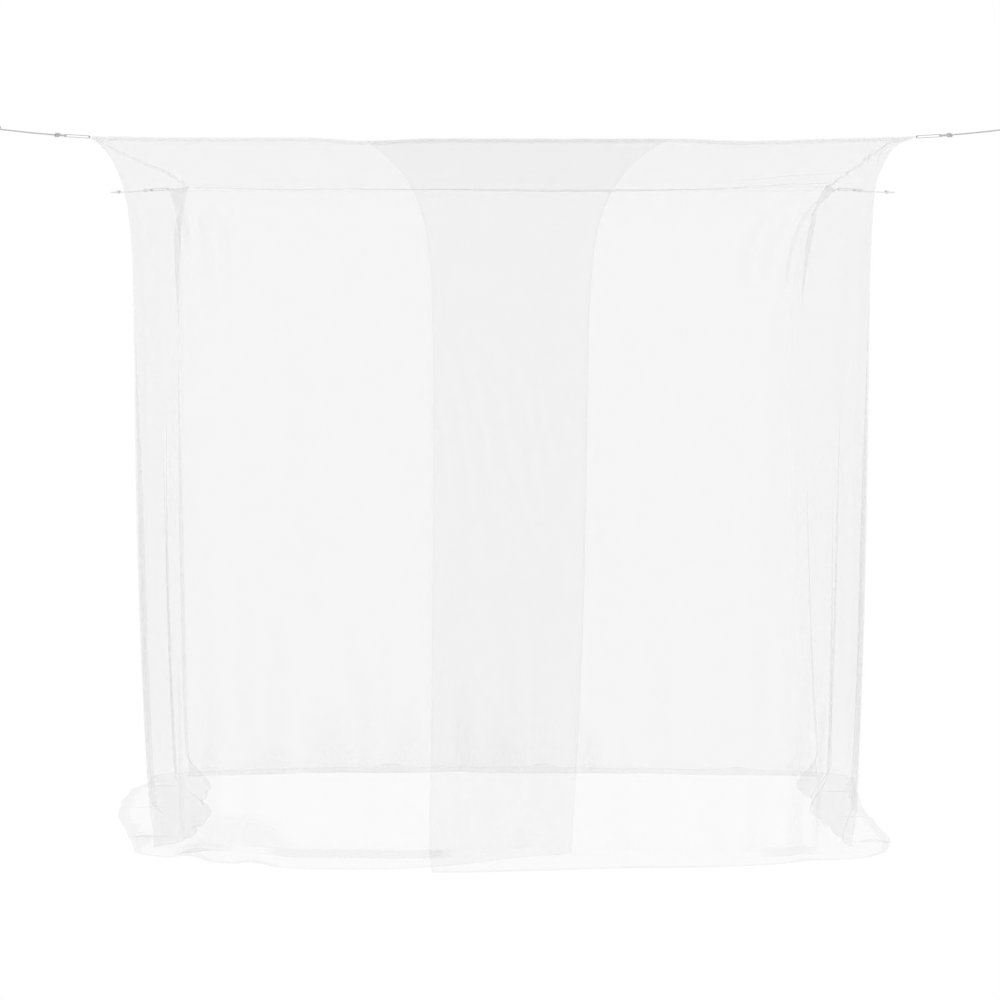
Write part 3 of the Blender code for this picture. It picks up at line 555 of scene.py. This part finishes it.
def rows():
    """Drop, turn and share of the skirt of each row."""
    still = np.zeros(len(ROW_DROPS))
    drop = np.concatenate([ROW_DROPS, np.full(len(ROW_TURNS) + len(ROW_OUTS), HANG)])
    turn = np.concatenate([still, ROW_TURNS, np.full(len(ROW_OUTS), math.pi / 2)])
    out = np.concatenate([still, np.zeros(len(ROW_TURNS)), ROW_OUTS])
    return drop[:, None], turn[:, None], out[:, None]


def crease_layers(wall_name, share, drop, turn):
    """The layers that a wall's creases add."""
    total = np.zeros(share.shape)
    for crease in CREASES:
        if crease.wall != wall_name:
            continue
        across = bell((share - crease.share) * WALLS[wall_name].length / crease.half_width)
        comes_in = smooth((drop - crease.begins) / CREASE_END)
        fades_out = smooth((crease.ends - drop) / CREASE_END)
        total = total + crease.layers * across * comes_in * fades_out * (turn == 0)
    return total


def layers_of(wall_name, points, share, drop, turn, out, skirt, to_seam):
    """How many layers of net there are at each point: more where it is gathered, hemmed or seamed."""
    wall = WALLS[wall_name]
    facing = np.abs(grid_normals(points) @ np.array([*wall.out, 0.0]))
    slope = 1 / np.clip(facing, LEAST_FACING, 1) - 1
    gathered = np.clip(GATHERED[wall_name] * slope, 0, GATHERED_MOST[wall_name]) * (turn == 0)
    over_floor = HANG - drop + (1 - out) * FOOT_RISE
    seed = 70 + ORDER.index(wall_name)
    patchy = FOOT_MEAN + FOOT_SPREAD * uneven(seed, share * wall.length / FOOT_CELL, share * 0)
    at_foot = out < NEAR_FOOT
    gathered = gathered + FOOT_LAYERS[wall_name] * patchy * bell(over_floor / FOOT_REACH) * at_foot
    low = smooth((drop - FLOOR_FROM) / FLOOR_FADE)
    panel = PANEL_LAYERS[wall_name] * (1 - low) + FLOOR_LAYERS * low
    layers = panel + gathered + crease_layers(wall_name, share, drop, turn)
    if wall_name == "back":
        for bunch in LOW_BUNCHES:
            across = bell((share - bunch.share) / bunch.half_width)
            layers = layers + bunch.layers * across * bell((HANG - drop) / bunch.height) * at_foot
    layers = layers + TOP_LAYERS[wall_name] * (drop <= BINDING_HEIGHT)
    if wall_name == "front":
        for fold in FOOT_FOLDS:
            comes_in = smooth((share - fold.first) / FOOT_FOLD_END)
            fades_out = smooth((fold.last - share) / FOOT_FOLD_END)
            across = comes_in * fades_out
            layers = layers + fold.layers * across * bell((HANG - drop) / fold.height) * at_foot
    from_hem = (1 - out) * skirt
    layers = np.where((from_hem < HEM_BAND) & (out > 0), HEM_LAYERS, layers)
    return np.where(to_seam <= SEAM_BAND + ROUNDING, SEAM_LAYERS, layers)


def add_mesh(name, points, faces, uv, layers, material):
    mesh = bpy.data.meshes.new(name)
    mesh.from_pydata([tuple(p) for p in points], [], faces)
    mesh.shade_smooth()
    layer = mesh.uv_layers.new(name="UVMap")
    corners = np.zeros(len(mesh.loops), np.int32)
    mesh.loops.foreach_get("vertex_index", corners)
    layer.data.foreach_set("uv", np.asarray(uv, np.float32)[corners].ravel())
    attribute = mesh.attributes.new("layers", "FLOAT", "POINT")
    attribute.data.foreach_set("value", np.asarray(layers, np.float32).ravel())
    mesh.materials.append(material)
    obj = bpy.data.objects.new(name, mesh)
    bpy.context.scene.collection.objects.link(obj)
    return obj


def grid_faces(row_count, column_count, start=0, flip=False):
    faces = []
    for j in range(row_count - 1):
        for i in range(column_count - 1):
            a = start + j * column_count + i
            face = (a, a + column_count, a + column_count + 1, a + 1)
            faces.append(face[::-1] if flip else face)
    return faces


def add_cloth(name, points, across, down, layers, material):
    """A sheet of net on a grid of points, with its map in metres."""
    count = points.shape[:2]
    uv = np.stack([np.broadcast_to(across, count), np.broadcast_to(down, count)], -1).reshape(-1, 2)
    return add_mesh(name, points.reshape(-1, 3), grid_faces(*count), uv, layers.reshape(-1), material)


def declare(piece, node):
    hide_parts(node)
    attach(piece, "root")


def add_wall(wall_name, material):
    wall = WALLS[wall_name]
    drop, turn, out = rows()
    across = spaced(wall.length, COLUMN_STEP, CLOSE)
    share = np.broadcast_to(across / wall.length, (len(drop), len(across)))
    drop, turn, out = (np.broadcast_to(a, share.shape) for a in (drop, turn, out))
    points = wall_points(wall_name, share, drop, turn, out)
    skirt = section(wall_name, share).skirt
    to_seam = np.minimum(share, 1 - share) * wall.length
    layers = layers_of(wall_name, points, share, drop, turn, out, skirt, to_seam)
    down = drop + turn * TURN_RADIUS + out * (skirt - TURN_RADIUS)
    piece = add_cloth(f"{wall_name}_net", points, across, down, layers, material)
    declare(piece, f"{wall_name}_wall")


def curtain_grid(curtain, from_left):
    """Shares of a curtain's points, from its corner seam to its free edge or the other way round."""
    drop, turn, out = rows()
    edge = free_share(curtain, drop, out)
    width = float(abs(edge[-1, 0] - (0 if from_left else 1))) * ROOF_WIDTH
    part = spaced(width, COLUMN_STEP, CLOSE) / width
    share = part * edge if from_left else edge + part * (1 - edge)
    drop, turn, out = (np.broadcast_to(a, share.shape) for a in (drop, turn, out))
    return part * width, share, drop, turn, out


def curtain_points(curtain, share, drop, turn, out, from_left):
    edge = free_share(curtain, drop, out)
    width = edge if from_left else 1 - edge
    to_edge = 1 - smooth(np.abs(edge - share) / (EDGE_REACH * width))
    normal = section("front", share).skirt
    skirt = normal + (curtain.skirt - normal) * to_edge
    pulled = smooth((share - DRAW_BACK_FROM) / (edge - DRAW_BACK_FROM)) if from_left else 0.0
    drawn = curtain.drawn_back * pulled * (drop / HANG) ** DRAW_BACK_POWER
    return wall_points("front", share, drop, turn, out, skirt, drawn), skirt


def add_curtain(name, curtain, from_left, material):
    across, share, drop, turn, out = curtain_grid(curtain, from_left)
    points, skirt = curtain_points(curtain, share, drop, turn, out, from_left)
    if not from_left:
        points = points + grid_normals(points) * layer_offset(share, drop, out)[..., None]
    near = np.broadcast_to(across, share.shape)
    to_corner = near if from_left else across[-1] - near
    layers = layers_of("front", points, share, drop, turn, out, skirt, to_corner)
    from_free = across[-1] - to_corner
    layers = np.where(from_free <= SEAM_BAND + ROUNDING, np.maximum(layers, FREE_EDGE_LAYERS), layers)
    down = drop + turn * TURN_RADIUS + out * (skirt - TURN_RADIUS)
    piece = add_cloth(f"{name}_net", points, across, down, layers, material)
    declare(piece, name)


def roof_edge(wall_name, share):
    """The roof's edge at shares of a wall's width."""
    zero = np.zeros(share.shape)
    return wall_points(wall_name, share, zero, zero, zero)


def add_roof(material):
    """The roof: a patch between its four edges that sags in the middle."""
    across, depth = spaced(ROOF_WIDTH, ROOF_STEP, CLOSE), spaced(ROOF_DEPTH, ROOF_STEP, CLOSE)
    u, v = across / ROOF_WIDTH, depth / ROOF_DEPTH
    front, back = roof_edge("front", u), roof_edge("back", 1 - u)
    left, right = roof_edge("left", 1 - v), roof_edge("right", v)
    u3, v3 = u[None, :, None], v[:, None, None]
    points = front[None] * (1 - v3) + back[None] * v3 + left[:, None] * (1 - u3) + right[:, None] * u3
    points = points - front[0] * (1 - u3) * (1 - v3) - front[-1] * u3 * (1 - v3)
    points = points - back[0] * (1 - u3) * v3 - back[-1] * u3 * v3
    inset = np.array([1 - 2 * ROOF_INSET / ROOF_WIDTH, 1 - 2 * ROOF_INSET / ROOF_DEPTH, 1])
    middle = np.array([0, MIDDLE_Y, 0])
    points = (points - middle) * inset + middle
    sag = ROOF_SAG * (4 * u * (1 - u))[None, :] * (4 * v * (1 - v))[:, None]
    points[..., 2] += ROOF_LIFT - sag
    from_side = np.minimum(across, ROOF_WIDTH - across)[None, :]
    from_end = np.minimum(depth, ROOF_DEPTH - depth)[:, None]
    from_edge = np.minimum(from_side, from_end)
    cell_across = across[None, :] / ROOF_UNEVEN.across + depth[:, None] * 0
    cell_down = depth[:, None] / ROOF_UNEVEN.down + across[None, :] * 0
    soft = uneven(90, cell_across, cell_down)
    points[..., 2] += ROOF_UNEVEN.height * soft * smooth(from_edge / ROOF_UNEVEN.fade)
    layers = np.full(from_edge.shape, ROOF_LAYERS)
    piece = add_cloth("roof_net", points, across, depth[:, None], layers, material)
    declare(piece, "roof")


def add_strip(name, outer, inner, across, down, material):
    """A closed strip of tape between two grids of points."""
    count = outer.shape[:2]
    row_count, column_count = count
    size = row_count * column_count
    faces = grid_faces(row_count, column_count)
    faces += grid_faces(row_count, column_count, size, True)
    rim = [(0, i) for i in range(column_count)] + [(j, column_count - 1) for j in range(1, row_count)]
    rim += [(row_count - 1, i) for i in range(column_count - 2, -1, -1)]
    rim += [(j, 0) for j in range(row_count - 2, 0, -1)]
    for (j, i), (jj, ii) in zip(rim, rim[1:] + rim[:1]):
        a, b = j * column_count + i, jj * column_count + ii
        faces.append((a, b, size + b, size + a))
    uv = np.stack([np.broadcast_to(across, count), np.broadcast_to(down, count)], -1).reshape(-1, 2)
    points = np.concatenate([outer.reshape(-1, 3), inner.reshape(-1, 3)])
    return add_mesh(name, points, faces, np.concatenate([uv, uv]), np.ones(len(points)), material)


def add_binding(wall_name, material):
    """The tape over the seam of roof and wall, drawn into the same puckers."""
    wall = WALLS[wall_name]
    drops = np.array([-BINDING_TOP, 0.0, BINDING_HEIGHT / 2, BINDING_HEIGHT])[:, None]
    across = spaced(wall.length, BINDING_STEP, BINDING_CLOSE)
    share = np.broadcast_to(across / wall.length, (len(drops), len(across)))
    drop = np.broadcast_to(drops, share.shape)
    zero = np.zeros(share.shape)
    points = wall_points(wall_name, share, drop, zero, zero)
    ways = grid_normals(points)
    proud = np.full(share.shape, BINDING_CLEAR)
    if wall_name == "front":
        proud = proud + layer_offset(share, zero, zero) * smooth(share / BINDING_STEPS_OUT)
    outer = points + ways * (proud + TAPE)[..., None]
    inner = points + ways * proud[..., None]
    piece = add_strip(f"{wall_name}_tape", outer, inner, across, drops, material)
    declare(piece, f"{wall_name}_binding")


# The ties


def corner_frame(corner):
    """A corner's place, the way its tie leaves, and the way to the side of it."""
    place = Vector((corner.side_x * ROOF_WIDTH / 2, MIDDLE_Y + corner.side_y * ROOF_DEPTH / 2, ROOF_HEIGHT))
    way = Vector((corner.side_x * math.cos(TIE_ANGLE), corner.side_y * math.sin(TIE_ANGLE), 0))
    return place, way, Vector((-way.y, way.x, 0))


def loop_end():
    """How far a corner loop reaches along its tie's way."""
    return (REACH_X - ROOF_WIDTH / 2 - LOOP_WIDTH / 2 * math.sin(TIE_ANGLE)) / math.cos(TIE_ANGLE)


def spline(route):
    """Close points on a smooth curve through the route."""
    points = []
    for k in range(len(route) - 1):
        a, b = route[max(k - 1, 0)], route[k]
        c, d = route[k + 1], route[min(k + 2, len(route) - 1)]
        for step in range(SPLINE_STEPS):
            t = step / SPLINE_STEPS
            bend = (2 * a - 5 * b + 4 * c - d) * t**2 + (3 * b - a - 3 * c + d) * t**3
            points.append(0.5 * (2 * b + (c - a) * t + bend))
    return points + [route[-1]]


def spread_out(points, step):
    kept = [points[0]]
    for point in points:
        if (point - kept[-1]).length >= step:
            kept.append(point)
    return kept


def tie_points(corner):
    """The tie's route, from beside the corner loop to the far loop's end."""
    place, way, side = corner_frame(corner)
    reach = TIE_REACH[corner.side_y]
    route = [Vector((loop_end() + out, across, 0)) for out, across in TIE_NEAR]
    route += [Vector((reach + out, across, 0)) for out, across in TIE_FAR]
    result = []
    for point in spread_out(spline(route), TIE_STEP):
        share = min(max((point.x - loop_end()) / (reach - loop_end()), 0.0), 1.0)
        rise = TIE_RISE[corner.side_y] * share - TIE_SAG * 4 * share * (1 - share)
        result.append(place + way * point.x + side * point.y + Vector((0, 0, rise)))
    return result


def tube(name, points, diameter, sides, material):
    """A round tube along points, with its map in metres along it and in turns round it."""
    rings, uv, along = [], [], 0.0
    up = Vector((0, 0, 1))
    for k, point in enumerate(points):
        before, after = points[max(k - 1, 0)], points[min(k + 1, len(points) - 1)]
        way = (after - before).normalized()
        if k:
            along += (point - points[k - 1]).length
        side = way.cross(up)
        side = side.normalized() if side.length > 0.05 else Vector((1, 0, 0))
        top = side.cross(way)
        for s in range(sides):
            angle = 2 * math.pi * s / sides
            rings.append(point + (side * math.cos(angle) + top * math.sin(angle)) * diameter / 2)
            uv.append((along, s / sides))
    faces = []
    for k in range(len(points) - 1):
        for s in range(sides):
            n = (s + 1) % sides
            a, b = k * sides, (k + 1) * sides
            faces.append((a + s, a + n, b + n, b + s))
    faces.append(tuple(reversed(range(sides))))
    last = (len(points) - 1) * sides
    faces.append(tuple(last + s for s in range(sides)))
    return add_mesh(name, rings, faces, uv, np.ones(len(rings)), material)


def knot(name, centre, way, side, material):
    """Three close turns of the cord round its two strands, where the tie is knotted."""
    up = Vector((0, 0, 1))
    points = []
    for step in range(KNOT_TURNS * KNOT_TURN_STEPS + 1):
        turn = step / KNOT_TURN_STEPS
        angle = 2 * math.pi * turn
        offset = way * (turn - KNOT_TURNS / 2) * CORD * KNOT_PITCH
        sideways = side * math.cos(angle) * CORD * KNOT_WIDE
        points.append(centre + offset + sideways + up * math.sin(angle) * CORD * KNOT_HIGH)
    return tube(name, points, CORD, KNOT_SIDES, material)


def add_tie(name, corner, material):
    place, way, side = corner_frame(corner)
    points = tie_points(corner)
    piece = tube(f"{name}_cord", points, CORD, CORD_SIDES, material)
    reach = TIE_REACH[corner.side_y]
    near = place + way * (loop_end() + KNOT_FROM_LOOP) + side * KNOT_ASIDE
    far = place + way * (reach - KNOT_FROM_END) + side * KNOT_ASIDE
    far += Vector((0, 0, TIE_RISE[corner.side_y]))
    knots = [
        knot(f"{name}_near_knot", near, way, side, material),
        knot(f"{name}_far_knot", far, way, side, material),
    ]
    for part in knots:
        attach(part, "root")
    declare(piece, name)


# Materials

SHEEN = 0.1
SPECULAR = 0.2
NET_OPEN = 0.955  # what passes through a hole of the net
NET_THREAD = 0.79  # and through the threads round it
MESH_PITCH = 0.0015
WEAVE_PITCH = 0.0016
STRAND_PITCH = 0.004
STRANDS_ROUND = 2
TAPE_COVER = {"front": 0.2, "right": 0.12, "back": 0.05, "left": 0.12}  # fainter farther from the eye
# Cord colours by tie side: the front ties' grey #C6C6C6 is painted shade on white cord, and the back ties'
# pale #ECECEC is the cord's own white.
CORD_COLOURS_AND_PAINTED_SHADE = {-1: ("braided_cord", "#C6C6C6"), 1: ("pale_braided_cord", "#ECECEC")}


def linear(code):
    """A colour code as linear light, with full opacity."""
    values = [int(code[k : k + 2], 16) / 255 for k in (1, 3, 5)]
    return tuple(v / 12.92 if v <= 0.04045 else ((v + 0.055) / 1.055) ** 2.4 for v in values) + (1.0,)


def add_node(tree, kind, links=(), **settings):
    """A node with its settings, and links from other nodes' outputs to its inputs by place."""
    node = tree.nodes.new(kind)
    for key, value in settings.items():
        setattr(node, key, value)
    for place, source in links:
        if isinstance(source, (int, float, tuple)):
            node.inputs[place].default_value = source
        else:
            tree.links.new(source, node.inputs[place])
    return node


def arithmetic(tree, operation, *values):
    return add_node(tree, "ShaderNodeMath", list(enumerate(values)), operation=operation).outputs[0]


def new_material(name, colour, roughness):
    material = bpy.data.materials.new(name)
    material.use_nodes = True
    shader = material.node_tree.nodes["Principled BSDF"]
    shader.inputs["Base Color"].default_value = linear(colour)
    shader.inputs["Roughness"].default_value = roughness
    shader.inputs["Sheen Weight"].default_value = SHEEN
    shader.inputs["Specular IOR Level"].default_value = SPECULAR
    return material, material.node_tree, shader


def net_material():
    """Knitted polyester net: six-sided holes between fine threads, sheer, and denser in layers. Its white
    threads are painted grey as painted shade.
    """
    # The base colour #D6D6D6 is painted shade: the white polyester threads are painted grey so that they
    # look shaded against the white room.
    material, tree, shader = new_material("knitted_polyester_net", "#D6D6D6", 0.7)
    place = add_node(tree, "ShaderNodeUVMap", uv_map="UVMap").outputs[0]
    waves = []
    for angle in (0, 60, 120):
        turned = math.radians(angle)
        step = 2 * math.pi / (MESH_PITCH * math.sqrt(3) / 2)
        way = (math.cos(turned) * step, math.sin(turned) * step, 0.0)
        dot = add_node(tree, "ShaderNodeVectorMath", [(0, place), (1, way)], operation="DOT_PRODUCT")
        waves.append(arithmetic(tree, "COSINE", dot.outputs["Value"], 0.0))
    total = arithmetic(tree, "ADD", arithmetic(tree, "ADD", waves[0], waves[1]), waves[2])
    thread = add_node(tree, "ShaderNodeMapRange", [(0, total), (1, 0.3), (2, -0.9), (3, 0.0), (4, 1.0)])
    cover = [(0, thread.outputs[0]), (1, 0.0), (2, 1.0), (3, NET_OPEN), (4, NET_THREAD)]
    openness = add_node(tree, "ShaderNodeMapRange", cover)
    layers = add_node(tree, "ShaderNodeAttribute", attribute_name="layers").outputs["Fac"]
    passed = arithmetic(tree, "POWER", openness.outputs[0], layers)
    tree.links.new(arithmetic(tree, "SUBTRACT", 1.0, passed), shader.inputs["Alpha"])
    return material


def tape_material(name, colour, cover):
    """Woven tape: fine crossing yarns, which cover the given share of the light behind them."""
    material, tree, shader = new_material(name, colour, 0.85)
    shader.inputs["Alpha"].default_value = cover
    place = add_node(tree, "ShaderNodeUVMap", uv_map="UVMap").outputs[0]
    parts = add_node(tree, "ShaderNodeSeparateXYZ", [(0, place)])
    yarns = 2 * math.pi / WEAVE_PITCH
    warp = arithmetic(tree, "SINE", arithmetic(tree, "MULTIPLY", parts.outputs[0], yarns), 0.0)
    weft = arithmetic(tree, "SINE", arithmetic(tree, "MULTIPLY", parts.outputs[1], yarns), 0.0)
    weave = arithmetic(tree, "MULTIPLY", warp, weft)
    bump = add_node(tree, "ShaderNodeBump", [("Height", weave), ("Distance", 0.0002), ("Strength", 0.5)])
    tree.links.new(bump.outputs[0], shader.inputs["Normal"])
    return material


def cord_material(name, colour):
    """Braided cord: strands that wind round it."""
    material, tree, shader = new_material(name, colour, 0.8)
    place = add_node(tree, "ShaderNodeUVMap", uv_map="UVMap").outputs[0]
    parts = add_node(tree, "ShaderNodeSeparateXYZ", [(0, place)])
    along = arithmetic(tree, "MULTIPLY", parts.outputs[0], 2 * math.pi / STRAND_PITCH)
    round_it = arithmetic(tree, "MULTIPLY", parts.outputs[1], 2 * math.pi * STRANDS_ROUND)
    one = arithmetic(tree, "SINE", arithmetic(tree, "ADD", along, round_it), 0.0)
    other = arithmetic(tree, "SINE", arithmetic(tree, "SUBTRACT", along, round_it), 0.0)
    strands = arithmetic(tree, "MULTIPLY", one, other)
    bump = add_node(tree, "ShaderNodeBump", [("Height", strands), ("Distance", 0.0004), ("Strength", 0.6)])
    tree.links.new(bump.outputs[0], shader.inputs["Normal"])
    return material


# The floor and the light

FLOOR_HALF = 60.0
FLOOR_LEVEL = -0.0005


def add_room():
    """A white floor under even white light, in which only the net's own layers show."""
    material = bpy.data.materials.new("floor_white")
    material.use_nodes = True
    tree = material.node_tree
    tree.nodes.clear()
    glow = add_node(tree, "ShaderNodeEmission", [("Color", (1.0, 1.0, 1.0, 1.0)), ("Strength", 1.0)])
    output = add_node(tree, "ShaderNodeOutputMaterial")
    tree.links.new(glow.outputs[0], output.inputs["Surface"])
    mesh = bpy.data.meshes.new("floor")
    signs = [(-1, -1), (1, -1), (1, 1), (-1, 1)]
    corners = [(x * FLOOR_HALF, y * FLOOR_HALF, FLOOR_LEVEL) for x, y in signs]
    mesh.from_pydata(corners, [], [(0, 1, 2, 3)])
    mesh.materials.append(material)
    floor = bpy.data.objects.new("floor", mesh)
    bpy.context.scene.collection.objects.link(floor)
    world = bpy.data.worlds.new("white_room")
    world.use_nodes = True
    world.node_tree.nodes["Background"].inputs["Color"].default_value = (1, 1, 1, 1)
    world.node_tree.nodes["Background"].inputs["Strength"].default_value = 1.0
    bpy.context.scene.world = world
    bpy.context.scene.view_settings.view_transform = "Standard"


def main():
    add_camera()
    net = net_material()
    # The front ties take the grey cord with painted shade, and the back ties the pale cord.
    cords = {side: cord_material(name, colour) for side, (name, colour) in CORD_COLOURS_AND_PAINTED_SHADE.items()}
    # The corner loops' white tape is painted grey #BEBEBE: painted shade.
    loop_tape_painted_shade = tape_material("folded_tape_painted_shade", "#BEBEBE", 1.0)
    for name, corner in CORNERS.items():
        add_tie(f"{name}_tie", corner, cords[corner.side_y])
        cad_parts[f"{name}_loop"].data.materials[0] = loop_tape_painted_shade
    for wall_name in WALLS:
        tape = tape_material(f"woven_tape_{wall_name}", "#F0F0F0", TAPE_COVER[wall_name])
        add_binding(wall_name, tape)
    add_roof(net)
    for wall_name in ("right", "back", "left"):
        add_wall(wall_name, net)
    add_curtain("front_left_curtain", LEFT_CURTAIN, True, net)
    add_curtain("front_right_curtain", RIGHT_CURTAIN, False, net)
    add_room()


main()
